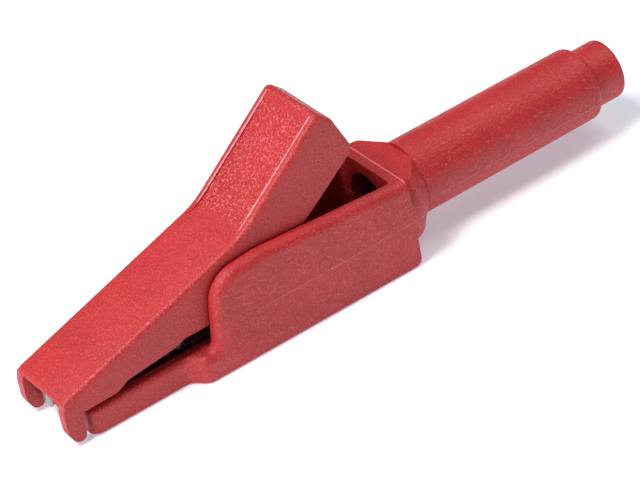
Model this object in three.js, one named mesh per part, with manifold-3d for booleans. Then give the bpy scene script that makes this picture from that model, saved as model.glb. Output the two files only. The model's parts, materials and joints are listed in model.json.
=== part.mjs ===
// An insulated alligator clip with a 4 mm socket, for test leads.
// Millimetres, +Z up. In the working frame x = 0 is the front edge of the upper jaw, +X runs back to the
// socket, y = 0 is the plane of symmetry and z = 0 the flat bottom. The last lines centre it along X.

import * as THREE from "three";
import { mergeVertices } from "three/addons/utils/BufferGeometryUtils.js";
import Module from "manifold-3d";

const wasm = await Module();
wasm.setup();

// ---- Fits -------------------------------------------------------------------------------------------
const seat = 0.2; // between two pieces of one body that are fixed to each other
const play = 0.1; // running fit of a turning piece, on radius or on each side
const swing = 0.3; // between a moving piece and a fixed wall
const past = 1; // how far a cutting tool runs past the face it opens

// ---- Outside sizes ----------------------------------------------------------------------------------
const jawWidth = 10.1; // both jaws and the thumb lever
const lowerJawLength = 16.1; // from its front end to the front edge of the box
const lowerJawHeight = 3.25;
const boxLength = 27.6; // from its front edge to the rear face
const boxHeight = 12.5; // at the front of the rim
const boxRearHeight = 11.1;
const boxSideWall = 1.5;
const boxRearWall = 1.4;
const sillLength = 1.7; // from the box's front edge to the well
const floor = 1.3; // thickness of the bottom, in the jaw and in the box
const jawWall = 1.3; // side walls of the lower jaw's trough
const noseWall = 1.2; // its front wall
const shoulderHeight = 10.7; // the round shoulder is cut flat at this height
const shoulderBand = 1.5; // cylindrical part of the shoulder
const shoulderLength = 3.7;
const shoulderRound = [[1, 1.12], [0.35, 0.39], [0, 0]]; // its drop in radius, behind the band
const shoulderStep = 0.05; // from the sleeve up to the shoulder's end
const sleeveLength = 25.8;
const sleeveRadius = 4.6;
const socketHeight = 6.57; // of the socket's axis
const collarLength = 4.1;
const collarRadius = 3.67;

// ---- Upper jaw and thumb lever ----------------------------------------------------------------------
const tipHeight = 5.92; // of the upper jaw's top at its front edge
const jawTopLength = 25.5; // along X, to the kink
const jawSlope = THREE.MathUtils.degToRad(18.2);
const leverLength = 15.7; // along its own slope
const leverSlope = THREE.MathUtils.degToRad(38.6);
const leverRound = 1.8; // along X, over its rounded end
const leverLean = 2.05; // its rear face leans back by this
const leverDepth = 6.55; // from its end down to the flanges' rear corner
const topWall = 1.5;
const flangeWall = 1.05;
const lobeLength = 2.05; // of the two front lobes, behind the front edge
const lobeBulge = 0.2; // ahead of the front edge
const lobeWidth = 1.15;
const lobeFoot = 0.35; // height of the lobes' lowest point
const lobeGap = 0.65; // between the lobes and the lower jaw's front end
const flangeFoot = 0.45; // the closed flanges end this far above the lower jaw
const gripStart = 4.6; // from the lobes to where the flanges lift to grip a round bar
const gripLength = 8.1;
const gripLift = [0.18, 0.95, 1.7, 2.17]; // of the flanges' lower edge at the corners along the grip
const gripRamp = [1.5, 1.2]; // along X, over the steps at the grip's two ends
const padMargin = 1.5; // from the thumb pad to the lever's edges
const padEnds = [1.2, 1.3]; // from the pad to the kink and to the lever's end
const padDepth = 0.25;

// ---- Metal parts ------------------------------------------------------------------------------------
const sheet = 0.6; // stamped steel of both frames
const hingeX = 25.5;
const hingeHeight = 8;
const pinRadius = 1.2;
const pinHeadRadius = 1.9;
const pinHead = 0.4;
const earRadius = 2.4;
const washer = 0.35;
const earRoom = 2.4; // from the inside of the upper frame's ears to the lever's flange
const toothPitch = 1.5;
const toothDepth = 0.6;
const rivetRadius = 0.7;
const rivetHeadRadius = 1.2;
const rivetHead = 0.4;
const rivetGrip = 0.9; // how deep a rivet sits in the plastic
const rivetInset = [3.9, 7.6, 9.3, 3.6]; // lower front and rear, upper front and rear, from their ends
const springWire = 0.7;
const springTurns = 3; // whole turns, of which the legs' angles take a part away
const springLegLength = 10;
const springRoom = 0.12; // between the coil and the frame under the thumb lever
const bobbinRoom = 0.15; // between the coil and its bobbin
const plugRadius = 2.02; // the contact takes a 4 mm plug
const contactWall = 0.63;
const contactLength = 22;
const contactSolid = 4; // length of the contact's solid root
const contactRecess = 1.2; // the contact ends this far inside the mouth
const slotWidth = 0.6;
const slotLength = 15;
const ringWall = 0.4;
const ringLength = 2;
const ringSetback = 0.7; // from the bush's insert
const bushInsertLength = 6;
const spigotLength = 3.2; // of the sleeve, inside the shoulder
const tailWidth = 3.2; // of the lower frame's tail and of the contact's flag
const tailRoom = 4.4; // from the well's rear to where the tail turns up
const flagLength = 5.5;

// ---- Places that follow from the sizes --------------------------------------------------------------
const lowerJawFront = lobeLength + lobeGap;
const boxFront = lowerJawFront + lowerJawLength;
const boxRear = boxFront + boxLength;
const sleeveFront = boxRear + shoulderLength;
const sleeveRear = sleeveFront + sleeveLength;
const socketRear = sleeveRear + collarLength;
const jawHalf = jawWidth / 2;
const wellHalf = jawHalf + swing; // the lever swings between the box's side walls
const boxHalf = wellHalf + boxSideWall;
const wellRear = boxRear - boxRearWall;
const flangeInner = jawHalf - flangeWall;
const kinkHeight = tipHeight + jawTopLength * Math.tan(jawSlope);
const leverEndX = jawTopLength + leverLength * Math.cos(leverSlope);
const leverEndZ = kinkHeight + leverLength * Math.sin(leverSlope);
const upperEarInner = flangeInner - earRoom;
const upperEarOuter = upperEarInner + sheet;
const lowerEarInner = upperEarOuter + washer + 2 * play;
const lowerEarOuter = lowerEarInner + sheet;
const pinHalf = lowerEarOuter + play + pinHead;
const frameFloor = floor + play; // underside of the lower frame
const contactRadius = plugRadius + contactWall;
const boreRadius = contactRadius + ringWall + seat;
const spigotRadius = sleeveRadius - 0.85;
const contactRear = socketRear - contactRecess;
const contactFront = contactRear - contactLength - contactSolid;
const flagUnder = socketHeight - sheet / 2;
const lowerRivets = [lowerJawFront + rivetInset[0], wellRear - rivetInset[1]]; // along X
const upperRivets = [lowerJawFront + rivetInset[2], leverEndX - rivetInset[3]];

// ---- Tools of the trade -----------------------------------------------------------------------------

// A closed three.js geometry as a solid that can be joined and cut. A profile may be given either way
// round, so faces that would point inwards are turned.
function solid(geometry) {
  const bare = geometry.clone();
  bare.deleteAttribute("normal");
  bare.deleteAttribute("uv");
  const merged = mergeVertices(bare);
  const corners = merged.index.array;
  const faces = [];
  const turnedFaces = [];
  for (let i = 0; i < corners.length; i += 3) {
    const [a, b, c] = corners.slice(i, i + 3);
    if (a === b || b === c || c === a) continue;
    faces.push(a, b, c);
    turnedFaces.push(a, c, b);
  }
  const made = (triangles) => new wasm.Manifold(new wasm.Mesh({
    numProp: 3,
    vertProperties: merged.attributes.position.array,
    triVerts: new Uint32Array(triangles),
  }));
  const body = made(faces);
  return body.volume() > 0 ? body : made(turnedFaces);
}

// A named mesh of a solid, with flat faces.
function part(name, body, material) {
  const cut = body.getMesh();
  const geometry = new THREE.BufferGeometry();
  geometry.setAttribute("position", new THREE.BufferAttribute(new Float32Array(cut.vertProperties), 3));
  geometry.setIndex(new THREE.BufferAttribute(new Uint32Array(cut.triVerts), 1));
  const flat = geometry.toNonIndexed();
  flat.computeVertexNormals();
  const mesh = new THREE.Mesh(flat, material);
  mesh.name = name;
  return mesh;
}

function union(...bodies) {
  return bodies.reduce((all, body) => all.add(body));
}

function cut(body, ...tools) {
  return tools.reduce((rest, tool) => rest.subtract(tool), body);
}

// An outline through corners [u, v, radius]; a radius rounds its corner as far as its two edges allow.
function outline(corners) {
  const shape = new THREE.Shape();
  const count = corners.length;
  corners.forEach(([u, v, radius = 0], i) => {
    const here = new THREE.Vector2(u, v);
    const toLast = new THREE.Vector2(...corners[(i + count - 1) % count]).sub(here);
    const toNext = new THREE.Vector2(...corners[(i + 1) % count]).sub(here);
    const half = Math.acos(toLast.dot(toNext) / toLast.length() / toNext.length()) / 2;
    const reach = Math.min(radius / Math.tan(half), toLast.length() * 0.49, toNext.length() * 0.49);
    const start = toLast.clone().setLength(reach).add(here);
    const end = toNext.clone().setLength(reach).add(here);
    if (i === 0) shape.moveTo(start.x, start.y);
    else shape.lineTo(start.x, start.y);
    if (reach === 0) return;
    const fillet = reach * Math.tan(half);
    const middle = toLast.normalize().add(toNext.normalize());
    const centre = middle.setLength(fillet / Math.sin(half)).add(here);
    const turn = start.clone().sub(here).cross(end.clone().sub(here));
    shape.absarc(centre.x, centre.y, fillet,
      Math.atan2(start.y - centre.y, start.x - centre.x),
      Math.atan2(end.y - centre.y, end.x - centre.x), turn > 0);
  });
  shape.closePath();
  return shape;
}

// An outline in (x, z), made a plate from y = from to y = to.
function sidePlate(shape, from, to) {
  const depth = to - from;
  const geometry = new THREE.ExtrudeGeometry(shape, { depth, bevelEnabled: false, curveSegments: 3 });
  geometry.rotateX(Math.PI / 2);
  geometry.translate(0, to, 0);
  return solid(geometry);
}

// The same plate on both sides of the plane of symmetry.
function sidePair(shape, from, to) {
  return union(sidePlate(shape, from, to), sidePlate(shape, -to, -from));
}

// An outline in (x, y), made a plate from z = from to z = to.
function planPlate(shape, from, to) {
  const depth = to - from;
  const geometry = new THREE.ExtrudeGeometry(shape, { depth, bevelEnabled: false, curveSegments: 3 });
  geometry.translate(0, 0, from);
  return solid(geometry);
}

function block(x0, x1, y0, y1, z0, z1) {
  const geometry = new THREE.BoxGeometry(x1 - x0, y1 - y0, z1 - z0);
  geometry.translate((x0 + x1) / 2, (y0 + y1) / 2, (z0 + z1) / 2);
  return solid(geometry);
}

// A body of revolution about the socket's axis, from a closed profile of [x, radius].
function turned(profile, segments = 40) {
  const points = profile.map(([x, radius]) => new THREE.Vector2(radius, x));
  points.push(points[0]);
  const geometry = new THREE.LatheGeometry(points, segments);
  geometry.rotateZ(-Math.PI / 2);
  geometry.translate(0, 0, socketHeight);
  return solid(geometry);
}

// A cylinder across the clip, along Y, at (x, z).
function crossRod(x, z, radius, from, to, segments = 28) {
  const geometry = new THREE.CylinderGeometry(radius, radius, to - from, segments);
  geometry.translate(x, (from + to) / 2, z);
  return solid(geometry);
}

function turnedY(solidBody, angle, x, z) {
  const degrees = THREE.MathUtils.radToDeg(angle);
  return solidBody.translate([-x, 0, -z]).rotate([0, -degrees, 0]).translate([x, 0, z]);
}

// ---- Materials --------------------------------------------------------------------------------------
const redPlastic = new THREE.MeshStandardMaterial({ color: 0xc8323a, roughness: 0.5, metalness: 0 });
const nickel = new THREE.MeshStandardMaterial({ color: 0xc9c9c6, roughness: 0.28, metalness: 1 });
const springSteel = new THREE.MeshStandardMaterial({ color: 0x9a9a9c, roughness: 0.35, metalness: 1 });
const brass = new THREE.MeshStandardMaterial({ color: 0xc8a85a, roughness: 0.3, metalness: 1 });

// ---- Lower housing: jaw, box and shoulder -----------------------------------------------------------
function lowerHousing() {
  const flare = 2.8; // length over which the jaw widens into the box
  const flareEnd = boxFront - 1.2; // it reaches its full width ahead of the box
  const flareStart = flareEnd - flare;
  const plan = new THREE.Shape();
  const nose = 1.2; // corner radius of the jaw's front end
  plan.moveTo(lowerJawFront + nose, -jawHalf);
  plan.lineTo(flareStart, -jawHalf);
  plan.bezierCurveTo(flareStart + flare / 2, -jawHalf, flareEnd - flare / 2, -boxHalf, flareEnd, -boxHalf);
  plan.lineTo(boxRear, -boxHalf);
  plan.lineTo(boxRear, boxHalf);
  plan.lineTo(flareEnd, boxHalf);
  plan.bezierCurveTo(flareEnd - flare / 2, boxHalf, flareStart + flare / 2, jawHalf, flareStart, jawHalf);
  plan.lineTo(lowerJawFront + nose, jawHalf);
  plan.absarc(lowerJawFront + nose, jawHalf - nose, nose, Math.PI / 2, Math.PI, false);
  plan.absarc(lowerJawFront + nose, nose - jawHalf, nose, Math.PI, 1.5 * Math.PI, false);

  const frontCorner = 5; // radius of the box's front top corner
  const crown = boxFront + 7.5; // the rim is highest here
  const frontLean = 1.2; // the box's front edge leans back by this
  const frontDrop = 0.6; // the rim falls by this from the crown to the front corner
  const profile = outline([
    [lowerJawFront, 0],
    [boxRear, 0],
    [boxRear, boxRearHeight],
    [crown, boxHeight, 4],
    [boxFront + frontLean, boxHeight - frontDrop, frontCorner],
    [boxFront, lowerJawHeight, 1.5],
    [lowerJawFront, lowerJawHeight],
  ]);
  const outside = sidePlate(profile, -boxHalf, boxHalf)
    .intersect(planPlate(plan, -past, boxHeight + past));

  const shoulder = turned([
    [boxRear - boxRearWall, 0],
    [sleeveFront, 0],
    [sleeveFront, sleeveRadius + shoulderStep],
    ...shoulderRound.map(([behind, drop]) => [boxRear + shoulderBand + behind, boxHalf - drop]),
    [boxRear - boxRearWall, boxHalf],
  ], 48).intersect(block(boxRear - boxRearWall, sleeveFront, -boxHalf, boxHalf, 0, shoulderHeight));

  const sill = boxFront + sillLength;
  const gate = 2; // the open front is cut this far to both sides of the box's front edge
  const well = block(sill, wellRear, -wellHalf, wellHalf, floor, boxHeight + past);
  const opening = block(boxFront - gate, boxFront + gate, -wellHalf, wellHalf, lowerJawHeight,
    boxHeight + past);
  const trough = block(lowerJawFront + noseWall, boxFront + gate, jawWall - jawHalf, jawHalf - jawWall,
    floor, boxHeight);
  const boreFront = wellRear - past;
  const spigotFront = boxRear + shoulderLength - spigotLength - seat;
  const bore = turned([[boreFront, 0], [spigotFront + past, 0], [spigotFront + past, boreRadius],
    [boreFront, boreRadius]]);
  const counterbore = turned([[spigotFront, 0], [sleeveFront + past, 0],
    [sleeveFront + past, spigotRadius + seat], [spigotFront, spigotRadius + seat]]);
  const rivetHoles = lowerRivets.map((x) => {
    const hole = new THREE.CylinderGeometry(rivetRadius + play, rivetRadius + play, rivetGrip + past, 20);
    hole.rotateX(Math.PI / 2);
    hole.translate(x, 0, floor - rivetGrip - play + (rivetGrip + past) / 2);
    return solid(hole);
  });
  return cut(union(outside, shoulder), well, opening, trough, bore, counterbore, ...rivetHoles);
}

// ---- Barrel: sleeve, end bush, contact and its ring -------------------------------------------------
const insertFront = sleeveRear - bushInsertLength;
const edgeRound = 0.9; // of the sleeve's rear edge

function rearSleeve() {
  const draft = 0.07; // the sleeve narrows this much to the rear
  const rear = sleeveRadius - draft;
  return turned([
    [sleeveFront - spigotLength, boreRadius],
    [insertFront - seat, boreRadius],
    [insertFront - seat, spigotRadius],
    [sleeveRear, spigotRadius],
    [sleeveRear, rear - edgeRound * 0.8],
    [sleeveRear - edgeRound * 0.2, rear - edgeRound * 0.3],
    [sleeveRear - edgeRound, rear],
    [sleeveFront + play, sleeveRadius],
    [sleeveFront + play, spigotRadius],
    [sleeveFront - spigotLength, spigotRadius],
  ]);
}

function socketBush() {
  const bore = contactRadius + play;
  const mouth = plugRadius + 0.08;
  const lead = 0.4; // chamfer that leads the plug in
  const round = 0.6; // of the collar's rear edge
  const insertRadius = spigotRadius - seat;
  return turned([
    [insertFront, bore],
    [contactRear + play, bore],
    [contactRear + play, mouth],
    [socketRear - lead, mouth],
    [socketRear, mouth + lead],
    [socketRear, collarRadius - round],
    [socketRear - round * 0.3, collarRadius - round * 0.3],
    [socketRear - round, collarRadius],
    [sleeveRear + play, collarRadius],
    [sleeveRear + play, insertRadius],
    [insertFront, insertRadius],
  ]);
}

function socketContact() {
  const tube = turned([
    [contactFront, 0],
    [contactFront + contactSolid, 0],
    [contactFront + contactSolid, plugRadius],
    [contactRear, plugRadius],
    [contactRear, contactRadius],
    [contactFront, contactRadius],
  ], 28);
  const flag = block(contactFront - flagLength, contactFront + past, -tailWidth / 2, tailWidth / 2,
    flagUnder, flagUnder + sheet);
  const slotFront = contactRear - slotLength;
  const half = slotWidth / 2;
  const upright = block(slotFront, socketRear, -half, half, 0, 2 * socketHeight);
  const level = block(slotFront, socketRear, -boxHalf, boxHalf, socketHeight - half,
    socketHeight + half);
  return cut(union(tube, flag), upright, level, tailRivetHole());
}

function contactSpringRing() {
  const inner = contactRadius + play / 2;
  const outer = inner + ringWall;
  const gap = 0.35; // half the angle of the ring's gap, in radians
  const shape = new THREE.Shape();
  shape.absarc(0, 0, outer, gap, 2 * Math.PI - gap, false);
  shape.absarc(0, 0, inner, 2 * Math.PI - gap, gap, true);
  shape.closePath();
  const geometry = new THREE.ExtrudeGeometry(shape, {
    depth: ringLength,
    bevelEnabled: false,
    curveSegments: 12,
  });
  geometry.rotateY(Math.PI / 2);
  geometry.translate(insertFront - ringLength - ringSetback, 0, socketHeight);
  return solid(geometry);
}

// ---- Lower jaw frame --------------------------------------------------------------------------------
const tailRivetX = contactFront - flagLength / 2;
const tailTop = flagUnder - play;
const frameTop = frameFloor + sheet;
const frameFront = lowerJawFront + noseWall + seat;
const lowerPeak = lowerJawHeight - 0.15; // height of the lower frame's teeth

function tailRivetHole() {
  const hole = new THREE.CylinderGeometry(rivetRadius + play, rivetRadius + play, 4 * sheet, 20);
  hole.rotateX(Math.PI / 2);
  hole.translate(tailRivetX, 0, flagUnder);
  return solid(hole);
}

// A row of pointed teeth between two places along X, as corners from front to rear.
function teeth(from, to, valley, peak) {
  const count = Math.round((to - from) / toothPitch);
  const pitch = (to - from) / count;
  const corners = [];
  for (let i = 0; i < count; i++) {
    corners.push([from + i * pitch, valley]);
    corners.push([from + (i + 0.5) * pitch, peak]);
  }
  corners.push([to, valley]);
  return corners;
}

function lowerJawFrame() {
  const wallRear = boxFront - 0.8; // the toothed walls end ahead of the box
  const tailBend = wellRear - tailRoom; // where the tail turns up
  const strip = block(frameFront, tailBend, -upperEarOuter, upperEarOuter, frameFloor, frameTop);
  const earFoot = earRadius + 0.8; // the ears widen to their feet
  const base = block(hingeX - earFoot, hingeX + earFoot, -lowerEarOuter, lowerEarOuter, frameFloor, frameTop);
  const ear = outline([
    [hingeX - earFoot, frameFloor],
    [hingeX + earFoot, frameFloor],
    [hingeX + earRadius, hingeHeight + earRadius, earRadius],
    [hingeX - earRadius, hingeHeight + earRadius, earRadius],
  ]);
  const wall = outline([
    [wallRear, frameFloor],
    [frameFront, frameFloor],
    ...teeth(frameFront, wallRear, lowerPeak - toothDepth, lowerPeak),
  ]);
  const rise = 1.8; // along X, while the tail climbs to the flag
  const lean = 0.25; // half the tail's own thickness along X while it climbs
  const tail = outline([
    [tailBend - lean, frameFloor],
    [tailBend + lean, frameFloor],
    [tailBend + lean + rise, tailTop - sheet],
    [contactFront - play, tailTop - sheet],
    [contactFront - play, tailTop],
    [tailBend - lean + rise, tailTop],
    [tailBend - lean, frameTop],
    [tailBend - 2 * lean, frameTop],
  ]);
  const holes = lowerRivets.map((x) => {
    const hole = new THREE.CylinderGeometry(rivetRadius + play, rivetRadius + play, 4 * sheet, 20);
    hole.rotateX(Math.PI / 2);
    hole.translate(x, 0, frameFloor);
    return solid(hole);
  });
  const pinHole = crossRod(hingeX, hingeHeight, pinRadius + play, -boxHalf, boxHalf);
  return cut(
    union(strip, base, sidePair(ear, lowerEarInner, lowerEarOuter),
      sidePair(wall, upperEarInner, upperEarOuter), sidePlate(tail, -tailWidth / 2, tailWidth / 2)),
    pinHole, tailRivetHole(), ...holes);
}

// ---- Hinge ------------------------------------------------------------------------------------------

// A body of revolution about the hinge, from a closed profile of [y, radius].
function turnedAcross(profile, segments = 28) {
  const points = profile.map(([y, radius]) => new THREE.Vector2(radius, y));
  points.push(points[0]);
  const geometry = new THREE.LatheGeometry(points, segments);
  return solid(geometry);
}

function hingePin() {
  const headInner = pinHalf - pinHead;
  const round = 0.15;
  return turnedAcross([
    [-pinHalf, 0],
    [-pinHalf, pinHeadRadius - round],
    [-pinHalf + round, pinHeadRadius],
    [-headInner, pinHeadRadius],
    [-headInner, pinRadius],
    [headInner, pinRadius],
    [headInner, pinHeadRadius],
    [pinHalf - round, pinHeadRadius],
    [pinHalf, pinHeadRadius - round],
    [pinHalf, 0],
  ]);
}

function tube(inner, outer, from, to) {
  return turnedAcross([[from, inner], [from, outer], [to, outer], [to, inner]]);
}

// ---- Return spring: a leg on the lower frame, the coil, and a leg under the thumb lever --------------
const underLever = (kinkHeight - hingeHeight) * Math.cos(leverSlope) - topWall - play - sheet;
const coilRadius = underLever - springRoom - springWire / 2;
const bobbinRadius = coilRadius - springWire / 2 - bobbinRoom;
const coilHalf = upperEarInner - play - springWire / 2;

class SpringLine extends THREE.Curve {
  constructor(lowerSlope, upperSlope) {
    super();
    this.lowerSlope = lowerSlope;
    this.upperSlope = upperSlope;
    this.sweep = springTurns * 2 * Math.PI - Math.PI - (upperSlope - lowerSlope);
    this.coilLength = this.sweep * coilRadius;
    this.length = this.coilLength + 2 * springLegLength;
  }

  getPoint(t, target = new THREE.Vector3()) {
    const along = t * this.length - springLegLength;
    const onCoil = THREE.MathUtils.clamp(along, 0, this.coilLength);
    const angle = this.lowerSlope - Math.PI / 2 - onCoil / coilRadius;
    const y = coilHalf * (2 * onCoil / this.coilLength - 1);
    target.set(coilRadius * Math.cos(angle), y, coilRadius * Math.sin(angle));
    const before = Math.min(along, 0);
    const after = Math.max(along - this.coilLength, 0);
    target.x -= before * Math.cos(this.lowerSlope);
    target.z -= before * Math.sin(this.lowerSlope);
    target.x += after * Math.cos(this.upperSlope);
    target.z += after * Math.sin(this.upperSlope);
    return target;
  }
}

function returnSpring() {
  // Each leg is tangent to the coil and its end just clears the steel it presses on.
  const lowerDrop = hingeHeight - frameTop - play - springWire / 2;
  const lowerSlope = -Math.asin((lowerDrop - coilRadius) / springLegLength * 0.98);
  const upperSlope = leverSlope;
  const line = new SpringLine(lowerSlope, upperSlope);
  const section = new THREE.Shape().absarc(0, 0, springWire / 2, 0, 2 * Math.PI, false);
  const geometry = new THREE.ExtrudeGeometry(section, {
    steps: 84,
    extrudePath: line,
    curveSegments: 4,
  });
  return solid(geometry);
}

// ---- Upper lever ------------------------------------------------------------------------------------

// Points at a depth below the top faces of the jaw, of the lever and at their kink.
function jawUnder(x, depth) {
  return [x, tipHeight + x * Math.tan(jawSlope) - depth / Math.cos(jawSlope)];
}

function leverUnder(x, depth) {
  return [x, kinkHeight + (x - jawTopLength) * Math.tan(leverSlope) - depth / Math.cos(leverSlope)];
}

function kinkUnder(depth) {
  const shared = 1 + Math.cos(leverSlope - jawSlope);
  return [
    jawTopLength + depth * (Math.sin(jawSlope) + Math.sin(leverSlope)) / shared,
    kinkHeight - depth * (Math.cos(jawSlope) + Math.cos(leverSlope)) / shared,
  ];
}

// Where an upper rivet's axis is at a depth below the top face, and the slope it stands square to.
function rivetPlace(along, depth) {
  const slope = along < jawTopLength ? jawSlope : leverSlope;
  const [, z] = along < jawTopLength ? jawUnder(along, 0) : leverUnder(along, 0);
  return { x: along + depth * Math.sin(slope), z: z - depth * Math.cos(slope), slope };
}

const flangeEnd = lowerJawHeight + flangeFoot; // height of the flanges' lower edge at the front
const gripFront = lobeLength + gripStart;
const gripRear = gripFront + gripLength;
const leverBack = [leverEndX + leverRound, leverEndZ - 1.65]; // corners of the lever's rounded end
const leverHeel = [leverEndX + leverRound + leverLean, leverEndZ - leverDepth];

function upperLever() {
  const kinkRadius = 9;
  const bossHalf = 2.6; // the flanges' boss around the hinge
  const bossFoot = hingeHeight - 3.8;
  const bossRamp = 1.4; // along X, from the grip down to the boss
  const bossRear = [hingeX + 4.4, hingeHeight + 1.6]; // where the flange starts up to the lever's heel
  const side = outline([
    [0, tipHeight, 0.3],
    [jawTopLength, kinkHeight, kinkRadius],
    [leverEndX, leverEndZ, 0.7],
    [...leverBack, 1.2],
    [...leverHeel, 1],
    [...bossRear, 2],
    [hingeX + bossHalf, bossFoot, 1.6],
    [hingeX - bossHalf, bossFoot, 1.6],
    [hingeX - bossHalf - bossRamp, flangeEnd + gripLift[3], 0.8],
    [gripRear + gripRamp[1], flangeEnd + gripLift[3], 0.8],
    [gripRear, flangeEnd + gripLift[2], 0.8],
    [gripFront + gripRamp[0], flangeEnd + gripLift[1], 0.8],
    [gripFront, flangeEnd + gripLift[0], 0.8],
    [0.4, flangeEnd],
    [0, tipHeight - 0.45],
  ]);
  const endWall = 1.3;
  const hollow = outline([
    [-past, tipHeight - 0.6],
    [0, tipHeight - 0.45],
    jawUnder(lobeLength + 0.6, topWall),
    kinkUnder(topWall),
    leverUnder(leverEndX - 0.4, topWall),
    [leverBack[0] - endWall, leverBack[1] - 0.5],
    [leverHeel[0] - endWall, leverHeel[1] + 1],
    [leverHeel[0] - endWall, 0],
    [-past, 0],
  ]);
  const lobe = outline([
    [0.05, tipHeight - 0.4],
    [-lobeBulge, tipHeight - 1.7, 1.2],
    [-lobeBulge, lobeFoot + 1.6, 2],
    [0.5, lobeFoot, 1.1],
    [lobeLength - 0.1, lobeFoot, 0.9],
    [lobeLength, flangeEnd],
    [lobeLength, tipHeight],
  ]);
  const pad = block(jawTopLength + padEnds[0], jawTopLength + leverLength - padEnds[1], padMargin - jawHalf,
    jawHalf - padMargin, kinkHeight - padDepth, kinkHeight + past);
  const blindHoles = upperRivets.map((along) => {
    const { x, z, slope } = rivetPlace(along, topWall);
    const depth = rivetGrip + play;
    const hole = new THREE.CylinderGeometry(rivetRadius + play, rivetRadius + play, depth + past, 20);
    hole.translate(0, (depth - past) / 2, 0);
    hole.rotateX(Math.PI / 2);
    hole.rotateY(-slope);
    hole.translate(x, 0, z);
    return solid(hole);
  });
  const shell = cut(sidePlate(side, -jawHalf, jawHalf), sidePlate(hollow, -flangeInner, flangeInner));
  const pinRoom = crossRod(hingeX, hingeHeight, pinHeadRadius + swing, -flangeInner - 0.2, flangeInner + 0.2);
  return cut(union(shell, sidePair(lobe, jawHalf - lobeWidth, jawHalf)),
    turnedY(pad, leverSlope, jawTopLength, kinkHeight), pinRoom, ...blindHoles);
}

// ---- Upper jaw frame --------------------------------------------------------------------------------
const fangLength = 0.8; // two teeth bent down at the front, which close ahead of the lower jaw
const fangFront = 1.25;
const fangFoot = 1.2;
const fangInner = 1.6; // half the space between them
const fangWidth = 1.1;
const upperPeak = lowerPeak - toothDepth + 0.4; // lowest points of the upper frame's teeth

function upperJawFrame() {
  const top = topWall + play;
  const under = top + sheet;
  const stripRear = leverEndX - 1.8;
  const strip = outline([
    jawUnder(fangFront, top),
    kinkUnder(top),
    leverUnder(stripRear, top),
    leverUnder(stripRear, under),
    kinkUnder(under),
    jawUnder(fangFront, under),
  ]);
  const toothBack = upperPeak + toothDepth;
  const biteFront = frameFront + toothPitch / 2; // half a tooth on from the lower row
  const wallFront = fangFront + fangLength;
  const wall = outline([
    jawUnder(fangFront, top),
    kinkUnder(top),
    [hingeX + earRadius + 1.6, hingeHeight + 3.2],
    [hingeX + earRadius, hingeHeight - earRadius, earRadius],
    [hingeX - earRadius, hingeHeight - earRadius, earRadius],
    [gripRear + 3, toothBack + 2.4],
    ...teeth(gripFront + gripRamp[0], gripRear, toothBack + gripLift[1], upperPeak + gripLift[1]).reverse(),
    ...teeth(biteFront, gripFront + 0.6, toothBack, upperPeak).reverse(),
    [wallFront, toothBack],
    [fangFront, toothBack],
  ]);
  const fang = outline([
    jawUnder(fangFront, top),
    jawUnder(wallFront, top),
    [wallFront, fangFoot + 0.5],
    [wallFront - 0.25, fangFoot],
    [fangFront + 0.25, fangFoot],
    [fangFront, fangFoot + 0.5],
  ]);
  const holes = upperRivets.map((along) => {
    const { x, z, slope } = rivetPlace(along, top);
    const hole = new THREE.CylinderGeometry(rivetRadius + play, rivetRadius + play, 4 * sheet, 20);
    hole.rotateX(Math.PI / 2);
    hole.rotateY(-slope);
    hole.translate(x, 0, z);
    return solid(hole);
  });
  const pinHole = crossRod(hingeX, hingeHeight, pinRadius + play, -boxHalf, boxHalf);
  return cut(
    union(sidePlate(strip, -upperEarOuter, upperEarOuter), sidePair(wall, upperEarInner, upperEarOuter),
      sidePair(fang, fangInner, fangInner + fangWidth)),
    pinHole, ...holes);
}

// A rivet with its head below z = 0 and its shank up; a closed one has a second head.
function rivet(shank, closed = false) {
  const points = [
    [0, -rivetHead],
    [rivetHeadRadius - 0.15, -rivetHead],
    [rivetHeadRadius, -rivetHead + 0.15],
    [rivetHeadRadius, 0],
    [rivetRadius, 0],
    [rivetRadius, shank],
  ];
  if (closed) points.push([rivetHeadRadius, shank], [rivetHeadRadius, shank + rivetHead]);
  points.push([0, shank + (closed ? rivetHead : 0)], [0, -rivetHead]);
  const geometry = new THREE.LatheGeometry(points.map(([r, h]) => new THREE.Vector2(r, h)), 20);
  geometry.rotateX(Math.PI / 2);
  return solid(geometry);
}

// ---- Assembly ---------------------------------------------------------------------------------------
const clip = new THREE.Group();
clip.position.x = -(socketRear - lobeBulge) / 2;

const housing = new THREE.Group();
housing.add(part("lower_housing", lowerHousing(), redPlastic));
housing.add(part("rear_sleeve", rearSleeve(), redPlastic));
housing.add(part("socket_bush", socketBush(), redPlastic));
housing.add(part("socket_contact", socketContact(), brass));
housing.add(part("contact_spring_ring", contactSpringRing(), springSteel));
housing.add(part("lower_jaw_frame", lowerJawFrame(), nickel));

const gripShank = rivetGrip + 2 * play + sheet;
["lower_jaw_rivet_front", "lower_jaw_rivet_rear"].forEach((name, i) => {
  const mesh = part(name, rivet(gripShank), nickel);
  mesh.position.set(lowerRivets[i], 0, frameTop + play / 2);
  mesh.rotation.x = Math.PI;
  housing.add(mesh);
});

const tailRivet = part("tail_rivet", rivet(2 * sheet + 2 * play, true), nickel);
tailRivet.position.set(tailRivetX, 0, tailTop - sheet - play / 2);
housing.add(tailRivet);

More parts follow.
